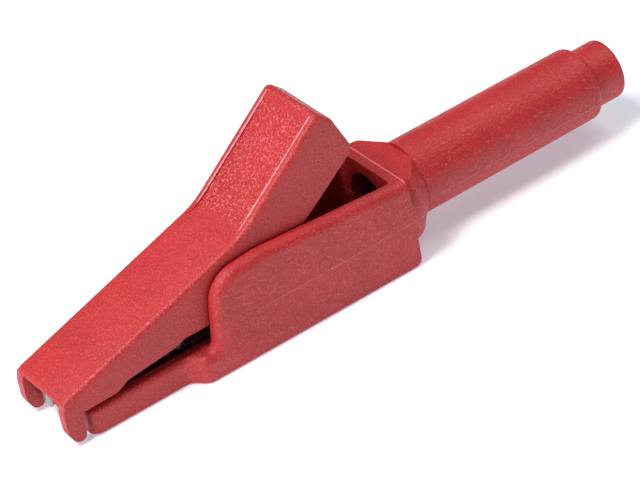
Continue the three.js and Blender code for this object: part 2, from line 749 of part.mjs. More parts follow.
const hinge = new THREE.Group();
hinge.position.set(hingeX, 0, hingeHeight);
hinge.add(part("hinge_pin", hingePin(), nickel));
const bobbinHalf = upperEarInner - play;
hinge.add(part("spring_bobbin", tube(pinRadius + play, bobbinRadius, -bobbinHalf, bobbinHalf), brass));
hinge.add(part("return_spring", returnSpring(), springSteel));
const washerBody = tube(pinRadius + play, pinHeadRadius + 0.2, 0, washer);
[["pin_washer_near", -upperEarOuter - play - washer], ["pin_washer_far", upperEarOuter + play]].forEach(
  ([name, y]) => {
    const mesh = part(name, washerBody, nickel);
    mesh.position.y = y;
    hinge.add(mesh);
  });
housing.add(hinge);

const lever = new THREE.Group();
lever.add(part("upper_lever", upperLever(), redPlastic));
lever.add(part("upper_jaw_frame", upperJawFrame(), nickel));
["upper_jaw_rivet_front", "upper_jaw_rivet_rear"].forEach((name, i) => {
  const { x, z, slope } = rivetPlace(upperRivets[i], topWall + play + sheet + play / 2);
  const mesh = part(name, rivet(gripShank), nickel);
  mesh.position.set(x, 0, z);
  mesh.rotation.y = -slope;
  lever.add(mesh);
});

clip.add(housing, lever);

export default clip;
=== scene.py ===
"""Looks of an insulated alligator clip: red moulded covers over nickelled toothed jaws, with a round
plug socket at the rear.
"""

import json
import math

import bmesh
import bpy
from mathutils import Euler, Matrix, Vector

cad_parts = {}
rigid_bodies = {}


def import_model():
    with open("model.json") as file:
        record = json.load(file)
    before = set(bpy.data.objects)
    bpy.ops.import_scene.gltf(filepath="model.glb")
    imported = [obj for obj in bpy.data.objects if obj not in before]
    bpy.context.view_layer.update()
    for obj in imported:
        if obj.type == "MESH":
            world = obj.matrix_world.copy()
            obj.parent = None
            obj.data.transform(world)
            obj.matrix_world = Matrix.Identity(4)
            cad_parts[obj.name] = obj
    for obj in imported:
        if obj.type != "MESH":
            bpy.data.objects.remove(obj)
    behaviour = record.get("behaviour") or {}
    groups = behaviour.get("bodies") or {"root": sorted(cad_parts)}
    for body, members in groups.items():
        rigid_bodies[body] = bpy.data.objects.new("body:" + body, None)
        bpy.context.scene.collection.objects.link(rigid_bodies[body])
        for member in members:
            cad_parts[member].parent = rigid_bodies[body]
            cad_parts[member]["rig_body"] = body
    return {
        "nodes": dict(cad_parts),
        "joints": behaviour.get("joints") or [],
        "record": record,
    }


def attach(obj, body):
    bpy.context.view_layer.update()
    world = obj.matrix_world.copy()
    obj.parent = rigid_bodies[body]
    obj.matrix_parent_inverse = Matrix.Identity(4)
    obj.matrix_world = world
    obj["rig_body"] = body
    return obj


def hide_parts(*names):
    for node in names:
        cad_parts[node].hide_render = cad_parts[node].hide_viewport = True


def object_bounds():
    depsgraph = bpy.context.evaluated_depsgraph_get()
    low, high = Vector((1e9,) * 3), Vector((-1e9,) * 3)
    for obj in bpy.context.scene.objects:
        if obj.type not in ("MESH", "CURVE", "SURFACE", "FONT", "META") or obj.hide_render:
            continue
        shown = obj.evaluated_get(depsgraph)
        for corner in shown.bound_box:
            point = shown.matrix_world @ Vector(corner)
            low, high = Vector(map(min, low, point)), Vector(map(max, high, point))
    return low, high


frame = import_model()


cad_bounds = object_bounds()
MM = 0.001
NOSE = cad_bounds[0][0] + 0.2 * MM  # X of the upper jaw's front edge; the lobes stand 0.2 mm ahead of it
HINGE_X = (frame["joints"][0]["pos_m"][0] - NOSE) / MM
HINGE_Z = frame["joints"][0]["pos_m"][2] / MM

# ---- Sizes in millimetres, X measured back from the upper jaw's front edge ----------------------------

# Lower housing
JAW_HALF = 5.05  # half of either jaw's width
JAW_FRONT = 2.7
JAW_HEIGHT = 3.25
JAW_WALL = 1.3  # at the lower jaw's sides
FRONT_WALL = 1.2
NOSE_ROUND = 1.2  # of the lower jaw's front corners
BOX_FRONT = 18.8
BOX_REAR = 46.4
BOX_HALF = 6.85
BOX_TOP = 11.1  # at the rear
BOX_RIM_ROUND = 1.25
FLARE_START = BOX_FRONT - 4.0
FLARE_END = BOX_FRONT - 1.2
FLOOR = 1.3
WELL_HALF = 5.35
WELL_REAR = 45.0
SILL = 1.7  # from the box's front edge to the well
SHOULDER_TOP = 10.7
SHOULDER_FRONT = BOX_REAR - 0.8  # it starts inside the box's rear wall
PARTING = 5.84  # height of the mould's parting line
PARTING_FRONT = 26  # it starts behind the box's front
CUT = 0.01  # keeps the faces of neighbouring cuts apart

# Barrel and collar
SOCKET_HEIGHT = 6.57
BORE_RADIUS = 3.25
BORE_FRONT = 44.0
SPIGOT_FRONT = 46.9
SPIGOT_RADIUS = 3.75
SPIGOT_PLAY = 0.2
SLEEVE_FRONT = 50.1
SLEEVE_REAR = 75.9
SLEEVE_RADIUS = 4.6
SLEEVE_SEAM = 0.03  # between the shoulder and the barrel
COLLAR_RADIUS = 3.67
COLLAR_FRONT = 69.7
CONTACT_ROOM = 2.75  # radius of the collar's inside round the contact
SOCKET_REAR = 80.0
MOUTH_FRONT = 78.9
MOUTH_RADIUS = 2.1

# Upper lever
TIP_HEIGHT = 5.92
KINK_X = 25.5
JAW_SLOPE = math.radians(18.2)
LEVER_SLOPE = math.radians(38.6)
KINK_HEIGHT = TIP_HEIGHT + KINK_X * math.tan(JAW_SLOPE)
LEVER_LENGTH = 15.7
LEVER_END = (KINK_X + LEVER_LENGTH * math.cos(LEVER_SLOPE),
             KINK_HEIGHT + LEVER_LENGTH * math.sin(LEVER_SLOPE))
LEVER_BACK = LEVER_END[0] + 1.8, LEVER_END[1] - 1.65
LEVER_HEEL = LEVER_END[0] + 3.85, LEVER_END[1] - 6.55
TOP_WALL = 1.5
END_WALL = 1.3
FLANGE_INNER = 4.0
FLANGE_END = 3.7  # the flanges' lower edge at the front
GRIP_FRONT = 6.65
GRIP_REAR = 14.75
GRIP_LIFT = 0.18, 0.95, 1.7, 2.17  # of the flanges' lower edge along the grip
LOBE_INNER = 3.75
LOBE_ROUND = 0.62
PAD_HALF = 3.95
PAD_DEPTH = 0.2
PAD_RUN = 1.6  # over which the pad's floor sinks at the front
RAIL = 0.19  # width of the rounded edge along each side of the pad, which carries a painted highlight

# Metal pieces
STAMPED_EDGE = 0.05
WIRE_RADIUS = 0.35
COIL_RADIUS = 2.257
COIL_HALF = 1.5 - WIRE_RADIUS  # the coil's outside fits the bobbin's width
SPRING_LEG = 10
LEG_REST = 2.1 + WIRE_RADIUS  # height at which the lower leg's end lies over the lower jaw's steel
COIL_TURNS = 2.5  # less the angle between the legs


def at(x, y, z):
    """A place in the row frame, from the upper jaw's front edge. Pieces are modelled in millimetres."""
    return Vector((NOSE / MM + x, y, z))


def place(point):
    """The same place counted from the upper jaw's front edge."""
    return Vector((point[0] - NOSE / MM, point[1], point[2]))


# ---- Drawing and cutting ------------------------------------------------------------------------------


def alone(piece):
    bpy.ops.object.select_all(action="DESELECT")
    piece.select_set(True)
    bpy.context.view_layer.objects.active = piece


def rounded(corners, step=9):
    """Corners (u, v, radius) as points, each rounded corner an arc of steps of about so many degrees."""
    points = []
    count = len(corners)
    for i, (u, v, *rest) in enumerate(corners):
        here = Vector((u, v))
        radius = rest[0] if rest else 0
        back = Vector(corners[i - 1][:2]) - here
        on = Vector(corners[(i + 1) % count][:2]) - here
        half = back.angle(on) / 2
        reach = min(radius / math.tan(half), back.length * 0.49, on.length * 0.49)
        if reach < 1e-6:
            points.append(here)
            continue
        fillet = reach * math.tan(half)
        centre = here + (back.normalized() + on.normalized()).normalized() * (fillet / math.sin(half))
        start = here + back.normalized() * reach - centre
        end = here + on.normalized() * reach - centre
        turn = math.atan2(start.x * end.y - start.y * end.x, start.dot(end))
        steps = max(2, round(abs(math.degrees(turn)) / step))
        for k in range(steps + 1):
            points.append(centre + Matrix.Rotation(turn * k / steps, 2) @ start)
    return points


def drawn(name, places):
    """A flat face drawn from point to point."""
    bpy.ops.object.select_all(action="DESELECT")
    bpy.ops.mesh.primitive_plane_add(size=1, location=places[0])
    piece = bpy.context.object
    piece.name = piece.data.name = name
    bpy.ops.object.mode_set(mode="EDIT")
    bpy.ops.mesh.select_mode(type="VERT")
    bpy.ops.mesh.select_all(action="SELECT")
    bpy.ops.mesh.merge(type="CENTER")
    for last, following in zip(places, places[1:]):
        bpy.ops.mesh.extrude_vertices_move(TRANSFORM_OT_translate={"value": following - last})
    bpy.ops.mesh.select_all(action="SELECT")
    bpy.ops.mesh.edge_face_add()
    bpy.ops.object.mode_set(mode="OBJECT")
    alone(piece)
    bpy.ops.object.transform_apply(location=True, rotation=True, scale=True)
    return piece


def thickened(piece, way):
    """A drawn face pushed out into a solid along a way."""
    alone(piece)
    bpy.ops.object.mode_set(mode="EDIT")
    bpy.ops.mesh.select_all(action="SELECT")
    bpy.ops.mesh.extrude_region_move(TRANSFORM_OT_translate={"value": way})
    bpy.ops.mesh.select_all(action="SELECT")
    bpy.ops.mesh.normals_make_consistent(inside=False)
    bpy.ops.object.mode_set(mode="OBJECT")
    return piece


def side_plate(name, points, near, far):
    """A plate with an outline in X and Z, from Y near to Y far."""
    return thickened(drawn(name, [at(x, near, z) for x, z in points]), (0, far - near, 0))


def plan_plate(name, points, low, high):
    """A plate with an outline in X and Y, from Z low to Z high."""
    return thickened(drawn(name, [at(x, y, low) for x, y in points]), (0, 0, high - low))


def block(name, low, high):
    (x0, y0, z0), (x1, y1, z1) = low, high
    return side_plate(name, [(x0, z0), (x1, z0), (x1, z1), (x0, z1)], y0, y1)


def spun(name, profile, steps=112):
    """A round solid about the socket's axis, from a closed profile of (X, radius)."""
    piece = drawn(name, [at(x, 0, SOCKET_HEIGHT + r) for x, r in profile])
    bpy.ops.object.mode_set(mode="EDIT")
    bpy.ops.mesh.select_all(action="SELECT")
    bpy.ops.mesh.delete(type="ONLY_FACE")
    bpy.ops.mesh.select_all(action="SELECT")
    bpy.ops.mesh.spin(steps=steps, angle=2 * math.pi, center=at(0, 0, SOCKET_HEIGHT), axis=(1, 0, 0))
    bpy.ops.mesh.select_all(action="SELECT")
    bpy.ops.mesh.remove_doubles(threshold=1e-4)
    bpy.ops.mesh.select_all(action="SELECT")
    bpy.ops.mesh.normals_make_consistent(inside=False)
    bpy.ops.object.mode_set(mode="OBJECT")
    return piece


def joined(piece, tool, operation):
    """Joins, cuts or keeps what a tool holds of a piece, and clears the tool away."""
    alone(piece)
    bpy.ops.object.modifier_add(type="BOOLEAN")
    boolean = piece.modifiers[-1]
    boolean.operation = operation
    boolean.solver = "EXACT"
    boolean.object = tool
    bpy.ops.object.modifier_apply(modifier=boolean.name)
    bpy.data.objects.remove(tool)
    return piece


def eased(piece, radius, test, segments=5):
    """Rounds the edges for which test(a, b, bend) is true of their ends and the angle they turn."""
    alone(piece)
    bpy.ops.object.mode_set(mode="EDIT")
    bpy.ops.mesh.select_mode(type="EDGE")
    bpy.ops.mesh.select_all(action="DESELECT")
    shape = bmesh.from_edit_mesh(piece.data)
    for edge in shape.edges:
        if len(edge.link_faces) == 2:
            a, b = (place(v.co) for v in edge.verts)
            if test(a, b, math.degrees(edge.calc_face_angle(0))):
                edge.select = True
    bmesh.update_edit_mesh(piece.data)
    bpy.ops.mesh.bevel(offset=radius, offset_type="OFFSET", segments=segments, affect="EDGES",
                       clamp_overlap=True, profile=0.5)
    bpy.ops.object.mode_set(mode="OBJECT")
    return piece


def graded(piece, radius, share, segments):
    """Rounds edges to a share of the radius, which share(a, b, bend) gives for each edge."""
    shape = bmesh.new()
    shape.from_mesh(piece.data)
    weights = shape.edges.layers.float.new("bevel_weight_edge")
    for edge in shape.edges:
        if len(edge.link_faces) == 2:
            a, b = (place(v.co) for v in edge.verts)
            edge[weights] = share(a, b, math.degrees(edge.calc_face_angle(0)))
    shape.to_mesh(piece.data)
    shape.free()
    alone(piece)
    bpy.ops.object.modifier_add(type="BEVEL")
    bevel = piece.modifiers[-1]
    bevel.width = radius
    bevel.segments = segments
    bevel.limit_method = "WEIGHT"
    bevel.use_clamp_overlap = False
    bpy.ops.object.modifier_apply(modifier=bevel.name)
    return piece


def cleaned(piece, angle):
    """Merges what a cut left on faces that turn less than an angle, and closes slivers."""
    alone(piece)
    bpy.ops.object.mode_set(mode="EDIT")
    bpy.ops.mesh.select_all(action="SELECT")
    bpy.ops.mesh.remove_doubles(threshold=0.01)
    bpy.ops.mesh.dissolve_limited(angle_limit=math.radians(angle))
    bpy.ops.mesh.select_all(action="DESELECT")
    bpy.ops.mesh.select_mode(type="FACE")
    shape = bmesh.from_edit_mesh(piece.data)
    for face in shape.faces:
        face.select = all(edge.is_boundary for edge in face.edges)
    bmesh.update_edit_mesh(piece.data)
    bpy.ops.mesh.delete(type="FACE")
    bpy.ops.mesh.select_mode(type="EDGE")
    bpy.ops.mesh.select_all(action="SELECT")
    bpy.ops.mesh.fill_holes(sides=4)
    bpy.ops.object.mode_set(mode="OBJECT")
    return piece


def finished(piece, material, body, *nodes, slot, smooth=32):
    """Brings a piece to its real size, shades it, gives it its material, and sets it on its body."""
    alone(piece)
    bpy.ops.transform.resize(value=(MM, MM, MM), center_override=(0, 0, 0))
    bpy.ops.object.transform_apply(location=True, rotation=True, scale=True)
    bpy.ops.object.shade_smooth_by_angle(angle=math.radians(smooth))
    piece.data.materials.clear()
    piece.data.materials.append(material)
    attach(piece, body)
    if nodes:
        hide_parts(*nodes)
    return piece


# ---- Shader maths -------------------------------------------------------------------------------------


class Value:
    """A shader socket that takes part in sums."""

    def __init__(self, finish, socket):
        self.finish = finish
        self.socket = socket

    def maths(self, operation, *others):
        return self.finish.node("ShaderNodeMath", {"operation": operation},
                                {0: self, **dict(enumerate(others, 1))})

    def __add__(self, other):
        return self.maths("ADD", other)

    def __mul__(self, other):
        return self.maths("MULTIPLY", other)

    def __sub__(self, other):
        return self.maths("SUBTRACT", other)

    def __rsub__(self, other):
        return self.finish.node("ShaderNodeMath", {"operation": "SUBTRACT"}, {0: other, 1: self})

    __radd__ = __add__
    __rmul__ = __mul__

    def between(self, low, high):
        """0 below low, 1 above high, smooth between."""
        return self.finish.node("ShaderNodeMapRange", {"interpolation_type": "SMOOTHSTEP"},
                                {"Value": self, "From Min": low, "From Max": high}, "Result")


class Finish:
    """A material and the nodes that make it."""

    def __init__(self, name, **numbers):
        self.material = bpy.data.materials.new(name)
        self.material.use_nodes = True
        self.tree = self.material.node_tree
        self.shader = self.tree.nodes["Principled BSDF"]
        for socket, number in numbers.items():
            self.shader.inputs[socket.replace("_", " ")].default_value = number
        self.place = self.node("ShaderNodeTexCoord", {}, {}, "Object")

    def node(self, kind, settings, sockets, out=0):
        made = self.tree.nodes.new(kind)
        for name, setting in settings.items():
            setattr(made, name, setting)
        for name, given in sockets.items():
            if isinstance(given, Value):
                self.tree.links.new(given.socket, made.inputs[name])
            else:
                made.inputs[name].default_value = given
        return Value(self, made.outputs[out])

    def noise(self, size, detail=2.0, roughness=0.5):
        """Noise whose grains are about size millimetres across."""
        return self.node("ShaderNodeTexNoise", {}, {"Vector": self.place, "Scale": 1 / (size * MM),
                                                    "Detail": detail, "Roughness": roughness}, "Fac")

    def blend(self, share, first, second):
        """A colour that goes from the first to the second."""
        return self.node("ShaderNodeMix", {"data_type": "RGBA"}, {0: share, 6: first, 7: second}, 2)

    def feed(self, **sockets):
        for name, value in sockets.items():
            self.tree.links.new(value.socket, self.shader.inputs[name.replace("_", " ")])

    def relief(self, height, depth, strength=1.0):
        """Raised by height, a value from 0 to 1, times depth in millimetres."""
        self.feed(Normal=self.node("ShaderNodeBump", {}, {"Height": height, "Distance": depth * MM,
                                                          "Strength": strength}))

    def axes(self):
        split = self.node("ShaderNodeSeparateXYZ", {}, {"Vector": self.place})
        outputs = split.socket.node.outputs
        return [Value(self, outputs[i]) for i in range(3)]


def colour(red, green, blue):
    """A colour as it is mixed by eye, 0 to 255, as the shader takes it."""
    def straight(v):
        v /= 255
        return v / 12.92 if v <= 0.04045 else ((v + 0.055) / 1.055) ** 2.4
    return straight(red), straight(green), straight(blue), 1.0


# ---- Finishes -----------------------------------------------------------------------------------------


def parting_line_and_painted_highlight(finish, toned, height):
    """A fine raised line with a few specks of flash where the mould's halves met, and a painted highlight:
    a light line along the box's rear top edge.
    """
    x, _, z = finish.axes()
    off = (z - PARTING * MM).maths("ABSOLUTE")
    behind = x.between(NOSE + (PARTING_FRONT - 2) * MM, NOSE + (PARTING_FRONT + 2) * MM)
    line = (1 - off.between(0.03 * MM, 0.1 * MM)) * behind
    flash = finish.noise(0.35, 1.0).between(0.66, 0.72) * (1 - off.between(0.05 * MM, 0.3 * MM)) * behind
    # painted highlight: a light line along the box's rear top edge, where its rounding would catch light
    painted_rear_edge_highlight = (x.between(NOSE + (BOX_REAR - 0.26) * MM, NOSE + (BOX_REAR - 0.16) * MM)
                 * (1 - x.between(NOSE + BOX_REAR * MM, NOSE + (BOX_REAR + 0.05) * MM))
                 * z.between((BOX_TOP - 0.25) * MM, (BOX_TOP - 0.1) * MM))
    toned = finish.blend(line * 0.38 + flash * 0.5 + painted_rear_edge_highlight * 0.6, toned, colour(240, 134, 140))
    return toned, height + line * 0.5


def painted_rail_highlights(finish, toned, height):
    """Two fine lines of painted highlight, one along each side of the thumb pad."""
    x, y, z = finish.axes()
    across = y.maths("ABSOLUTE")
    foot = KINK_HEIGHT * MM - (NOSE + KINK_X * MM) * math.tan(LEVER_SLOPE)
    below = (z - x * math.tan(LEVER_SLOPE) - foot).maths("ABSOLUTE")
    rail_highlight_mask = (across.between((PAD_HALF + 0.02) * MM, (PAD_HALF + 0.08) * MM)
            * (1 - across.between((PAD_HALF + 0.22) * MM, (PAD_HALF + 0.34) * MM))
            * (1 - below.between(0.2 * MM, 0.4 * MM))
            * x.between(NOSE + KINK_X * MM, NOSE + (KINK_X + 0.8) * MM))
    patches = finish.noise(0.45, 3.0, 0.6).between(0.3, 0.55)
    # painted highlight: the two lines beside the pad are lightened in patches
    toned = finish.blend(rail_highlight_mask * (patches * 0.5 + 0.2), toned, colour(248, 170, 174))
    return toned, height + rail_highlight_mask * 0.6


def moulded_red(name, grain, coarse, detail=None):
    """Red moulded plastic with an eroded mould's texture: grain in millimetres, coarse from 0 to 1."""
    finish = Finish(name, Specular_IOR_Level=0.5, IOR=1.5)
    cloud = finish.noise(5.0, 3.0).between(0.3, 0.7)
    pepper = finish.noise(grain, 1.5, 0.6)
    speck = pepper.between(0.5, 0.72)
    toned = finish.blend(cloud, colour(173, 32, 34), colour(183, 36, 39))
    toned = finish.blend(speck * (0.38 + 0.26 * coarse), toned,
                         colour(238 + 8 * coarse, 100 + 22 * coarse, 102 + 24 * coarse))
    rough = finish.noise(grain * 1.6, 2.0).between(0.3, 0.7) * 0.28 + (0.33 - 0.06 * coarse)
    height = pepper * 0.75 + finish.noise(grain * 2.7, 1.0) * 0.25
    if detail:
        toned, height = detail(finish, toned, height)
    finish.feed(Base_Color=toned, Roughness=rough)
    finish.relief(height, 0.12 + 0.08 * coarse)
    return finish.material


def painted_highlight_red(name):
    """The pad's two long rounded edges, with a painted highlight: lighter in patches, and smooth."""
    finish = Finish(name, Specular_IOR_Level=0.6, IOR=1.5)
    patches = finish.noise(0.5, 3.0, 0.6)
    highlight_tone = finish.blend(patches.between(0.35, 0.6), colour(205, 78, 80), colour(246, 176, 178))
    finish.feed(Base_Color=highlight_tone, Roughness=patches * 0.2 + 0.2)
    finish.relief(finish.noise(0.2, 1.5), 0.05)
    return finish.material


def plated(name, tone, rough):
    """Bright metal, duller and darker in soft patches."""
    finish = Finish(name, Metallic=1.0)
    wear = finish.noise(1.2, 4.0, 0.6)
    fine = finish.noise(0.12, 2.0)
    darker = [0.86 * v for v in tone]
    finish.feed(Base_Color=finish.blend(wear, colour(*tone), colour(*darker)),
                Roughness=wear * 0.16 + fine * 0.08 + rough)
    finish.relief(fine * 0.5 + wear * 0.5, 0.012, 0.5)
    return finish.material


MOULD_GRAIN = 0.21
PAD_GRAIN = 0.27
red = moulded_red("moulded_red", MOULD_GRAIN, 0.0)
# the housing's red, with a painted highlight along the box's rear top edge
red_parted_with_painted_highlight = moulded_red("moulded_red_with_parting_line_and_painted_highlight", MOULD_GRAIN, 0.0, parting_line_and_painted_highlight)
# the lever's red, with painted highlights along the pad's sides
red_with_rail_highlights = moulded_red("moulded_red_with_painted_rail_highlights", MOULD_GRAIN, 0.0, painted_rail_highlights)
red_pad = moulded_red("eroded_pad_red", PAD_GRAIN, 1.0)
# painted highlight colour for the faces of the pad's rounded edges
red_painted_highlight = painted_highlight_red("painted_highlight_edge_red")
nickel = plated("nickel_plate", (186, 184, 180), 0.26)
spring_steel = plated("spring_wire", (168, 168, 170), 0.24)
brass = plated("turned_brass", (206, 178, 112), 0.2)


# ---- Lower housing ------------------------------------------------------------------------------------


def flare_points(sign):
    """The curve over which the jaw widens into the box."""
    middle = (FLARE_START + FLARE_END) / 2
    steps = 12
    points = []
    for k in range(steps + 1):
        t = k / steps
        ahead, behind = 3 * t * (1 - t) ** 2, 3 * t * t * (1 - t)
        points.append((FLARE_START * (1 - t) ** 3 + middle * (ahead + behind) + FLARE_END * t ** 3,
                       sign * (JAW_HALF + (BOX_HALF - JAW_HALF) * (behind + t ** 3))))
    return points


def housing_block():
    """The jaw and box as one solid: its outline from the side within its outline from above."""
    profile = rounded([
        (JAW_FRONT, 0),
        (BOX_REAR, 0, 0.9),
        (BOX_REAR, BOX_TOP),
        (BOX_FRONT + 7.5, 12.5, 6),
        (BOX_FRONT + 1.2, 11.9, 5),
        (BOX_FRONT, JAW_HEIGHT, 1.15),
        (JAW_FRONT, JAW_HEIGHT),
    ], 7)
    corner = [(JAW_FRONT + NOSE_ROUND - NOSE_ROUND * math.cos(math.radians(a)),
               JAW_HALF - NOSE_ROUND + NOSE_ROUND * math.sin(math.radians(a))) for a in range(0, 91, 15)]
    plan = ([(x, -y) for x, y in corner] + flare_points(-1)
            + [(BOX_REAR, -BOX_HALF), (BOX_REAR, BOX_HALF)] + flare_points(1)[::-1] + corner[::-1])
    shell = side_plate("clip_housing", profile, -BOX_HALF - 1, BOX_HALF + 1)
    joined(shell, plan_plate("plan", plan, -1, 14), "INTERSECT")
    return cleaned(shell, 0.05)


def shoulder_block():
    """The round shoulder between the box and the barrel, cut flat above and below."""
    shoulder = spun("shoulder", [
        (SHOULDER_FRONT, 0), (SLEEVE_FRONT, 0), (SLEEVE_FRONT, SLEEVE_RADIUS + 0.05), (BOX_REAR + 2.6, 5.6),
        (BOX_REAR + 2.15, 6.1), (BOX_REAR + 1.75, 6.55), (BOX_REAR + 1.3, 6.75), (BOX_REAR + 0.9, 6.8),
        (SHOULDER_FRONT, 6.8)])
    slab = block("flat", (SHOULDER_FRONT - 1.2, -9, 0.02), (SLEEVE_FRONT + 2, 9, SHOULDER_TOP))
    joined(shoulder, slab, "INTERSECT")

    def flat_top(a, b, bend):
        return bend > 12 and min(a.z, b.z) > SHOULDER_TOP - 0.01 and max(a.x, b.x) > BOX_REAR
    return eased(shoulder, 0.45, flat_top, 3)


def lower_housing():
    shell = housing_block()
    behind_nose = JAW_FRONT + 1.3

    def rim(a, b, bend):
        """The jaw's top edge is rounded to about half of the box's, and the flare grades between them."""
        middle = (a + b) / 2
        on_bottom = max(a.z, b.z) < 0.01 or (min(a.z, b.z) < 0.95 and middle.x > behind_nose)
        across = abs(middle.y) < 4.2 and middle.x > behind_nose
        if bend < 40 or on_bottom or across or middle.x > BOX_REAR - 0.02:
            return 0
        flare = (middle.x - FLARE_START) / (FLARE_END - FLARE_START)
        return 0.55 + 0.45 * min(1, max(0, flare))

    def foot(a, b, bend):
        return bend > 40 and max(a.z, b.z) < 0.01 and min(a.x, b.x) < BOX_REAR - 1

    graded(shell, BOX_RIM_ROUND, rim, 6)
    eased(shell, 0.22, foot, 3)
    joined(shell, block("trough", (JAW_FRONT + FRONT_WALL, JAW_WALL - JAW_HALF, FLOOR),
                        (BOX_FRONT + 2.2, JAW_HALF - JAW_WALL, 17)), "DIFFERENCE")
    joined(shell, block("opening", (BOX_FRONT - 2, CUT - WELL_HALF, JAW_HEIGHT + 2 * CUT),
                        (BOX_FRONT + 2, WELL_HALF - CUT, 16)), "DIFFERENCE")
    well = rounded([(BOX_FRONT + SILL, -WELL_HALF), (WELL_REAR, -WELL_HALF, 0.5), (WELL_REAR, WELL_HALF, 0.5),
                    (BOX_FRONT + SILL, WELL_HALF)], 20)
    joined(shell, plan_plate("well", well, FLOOR - 3 * CUT, 15), "DIFFERENCE")
    joined(shell, shoulder_block(), "UNION")
    bore_end = SPIGOT_FRONT + 0.7
    joined(shell, spun("bore", [(BORE_FRONT, 0), (bore_end, 0), (bore_end, BORE_RADIUS),
                                (BORE_FRONT, BORE_RADIUS)], 64), "DIFFERENCE")
    seat_front, seat_rear = SPIGOT_FRONT - SPIGOT_PLAY, SLEEVE_FRONT + 0.9
    seat_radius = SPIGOT_RADIUS + SPIGOT_PLAY
    joined(shell, spun("seat", [(seat_front, 0), (seat_rear, 0), (seat_rear, seat_radius),
                                (seat_front, seat_radius)], 64), "DIFFERENCE")
    cleaned(shell, 0.05)

    def inner_rim(a, b, bend):
        return (bend > 40 and min(a.x, b.x) >= BOX_FRONT + SILL + 0.05
                and all(v.z > 10.6 and abs(v.y) < WELL_HALF + CUT and v.x < WELL_REAR + CUT for v in (a, b)))
    eased(shell, 0.32, inner_rim, 3)
    return finished(shell, red_parted_with_painted_highlight, "housing", "lower_housing", slot="red_plastic")


# ---- Barrel -------------------------------------------------------------------------------------------


def quarter(x, r, size):
    """Points of a rounded rear edge, from the face to the outside."""
    steps = 6
    return [(x - size + size * math.cos(math.radians(a)), r - size + size * math.sin(math.radians(a)))
            for a in [90 * k / steps for k in range(steps + 1)]]


def rear_sleeve():
    front = SLEEVE_FRONT + SLEEVE_SEAM
    taper = 0.07
    sleeve = spun("barrel_sleeve", [
        (SPIGOT_FRONT, BORE_RADIUS), (COLLAR_FRONT, BORE_RADIUS), (COLLAR_FRONT, SPIGOT_RADIUS),
        (SLEEVE_REAR, SPIGOT_RADIUS), *quarter(SLEEVE_REAR, SLEEVE_RADIUS - taper, 0.75),
        (front + 0.07, SLEEVE_RADIUS), (front, SLEEVE_RADIUS - 0.07),
        (front, SPIGOT_RADIUS), (SPIGOT_FRONT, SPIGOT_RADIUS)])
    return finished(sleeve, red_parted_with_painted_highlight, "housing", "rear_sleeve", slot="red_plastic")


def socket_bush():
    front = COLLAR_FRONT + SPIGOT_PLAY
    inside = SPIGOT_RADIUS - SPIGOT_PLAY
    step = SLEEVE_REAR + 0.1
    bush = spun("socket_collar", [
        (front, CONTACT_ROOM), (MOUTH_FRONT, CONTACT_ROOM), (MOUTH_FRONT, MOUTH_RADIUS),
        (SOCKET_REAR - 0.4, MOUTH_RADIUS), (SOCKET_REAR - 0.12, MOUTH_RADIUS + 0.22),
        (SOCKET_REAR, MOUTH_RADIUS + 0.5), *quarter(SOCKET_REAR, COLLAR_RADIUS, 0.5),
        (step, COLLAR_RADIUS), (step, inside), (front, inside)])
    return finished(bush, red, "housing", "socket_bush", slot="red_plastic")


# ---- Upper lever --------------------------------------------------------------------------------------


def under_jaw(x, depth):
    """A place in X and Z at a depth under the upper jaw's top face."""
    return x, TIP_HEIGHT + x * math.tan(JAW_SLOPE) - depth / math.cos(JAW_SLOPE)


def under_pad(x, depth):
    """A place in X and Z at a depth under the thumb lever's top face."""
    return x, KINK_HEIGHT + (x - KINK_X) * math.tan(LEVER_SLOPE) - depth / math.cos(LEVER_SLOPE)


def under_kink(depth):
    """The place where two lines at a depth under both top faces meet."""
    shared = 1 + math.cos(LEVER_SLOPE - JAW_SLOPE)
    return (KINK_X + depth * (math.sin(JAW_SLOPE) + math.sin(LEVER_SLOPE)) / shared,
            KINK_HEIGHT - depth * (math.cos(JAW_SLOPE) + math.cos(LEVER_SLOPE)) / shared)


def lever_block():
    """The lever as one solid with its upper edges rounded, and its outline from the side."""
    cheek = 3.8  # how far the flanges reach below the hinge
    side = rounded([
        (0, TIP_HEIGHT),
        (KINK_X, KINK_HEIGHT, 9),
        (*LEVER_END, 0.8),
        (*LEVER_BACK, 1.3),
        (*LEVER_HEEL, 1.1),
        (HINGE_X + 4.4, HINGE_Z + 1.6, 2),
        (HINGE_X + 2.6, HINGE_Z - cheek, 1.6),
        (HINGE_X - 2.6, HINGE_Z - cheek, 1.6),
        (HINGE_X - 4.0, FLANGE_END + GRIP_LIFT[3], 0.8),
        (GRIP_REAR + 1.2, FLANGE_END + GRIP_LIFT[3], 1.0),
        (GRIP_REAR, FLANGE_END + GRIP_LIFT[2], 1.0),
        (GRIP_FRONT + 1.5, FLANGE_END + GRIP_LIFT[1], 0.8),
        (GRIP_FRONT, FLANGE_END + GRIP_LIFT[0], 0.8),
        (0.4, FLANGE_END),
        (0, TIP_HEIGHT - 1.3),
    ], 6)
    shell = side_plate("thumb_lever", side, -JAW_HALF, JAW_HALF)

    def on_top(v):
        """Whether a point is on the lever's upper face or its rounded end."""
        if v.x < KINK_X:
            return v.z > under_jaw(v.x, 0.35)[1]
        return v.z > under_pad(v.x, 0.5)[1] or v.x > LEVER_END[0] - 0.6

    def rim(a, b, bend):
        """The lever's upper edges, its front edge and its rounded end, fading out down the heel."""
        middle = (a + b) / 2
        if bend < 40:
            return 0
        if middle.x < 0.01:
            return 1 if middle.z > TIP_HEIGHT - 0.7 else 0
        if min(abs(a.y), abs(b.y)) < 5 or not on_top(middle):
            return 0
        return 1 if middle.x < 30 else min(1, max(0, (middle.z - 14) / 2))
    return graded(shell, 0.6, rim, 5), side


